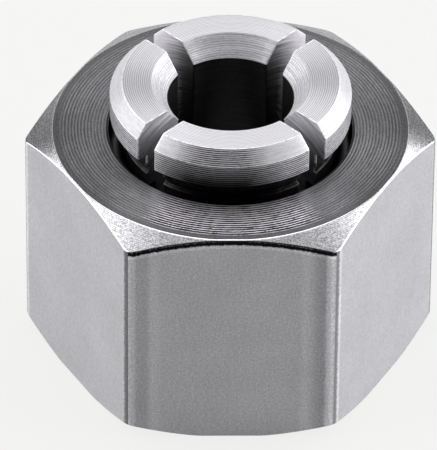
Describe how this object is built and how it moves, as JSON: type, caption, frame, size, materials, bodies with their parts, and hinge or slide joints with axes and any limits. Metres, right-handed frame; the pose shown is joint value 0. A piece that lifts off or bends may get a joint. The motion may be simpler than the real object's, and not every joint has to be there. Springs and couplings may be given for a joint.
{
  "type": "die grinder collet",
  "caption": "Slotted collet held captive in a hexagonal clamping nut, for gripping round tool shanks on a die grinder spindle.",
  "frame": {"origin": "centre of the nut's bottom face, which the part stands on", "axes": "+Z along the turning axis towards the collet's mouth; one flat of the hexagon faces -Y, a corner lies on +X"},
  "size_m": [0.0194, 0.017, 0.0148],
  "materials": {
    "nut_steel": "satin, fine-turned top",
    "spring_steel": "drawn wire",
    "collet_steel": "fine-turned"
  },
  "bodies": {
    "nut": {"clamping_nut": "nut_steel"},
    "ring": {"snap_ring": "spring_steel"},
    "collet": {"collet": "collet_steel"}
  },
  "joints": [
    {"name": "collet_turn", "type": "hinge", "parent": "nut", "child": "ring", "pos_m": [0, 0, 0.0105], "axis": [0, 0, 1], "continuous": true},
    {"name": "collet_float", "type": "slide", "parent": "ring", "child": "collet", "axis": [0, 0, 1], "range_m": [0, 0.0004]}
  ]
}
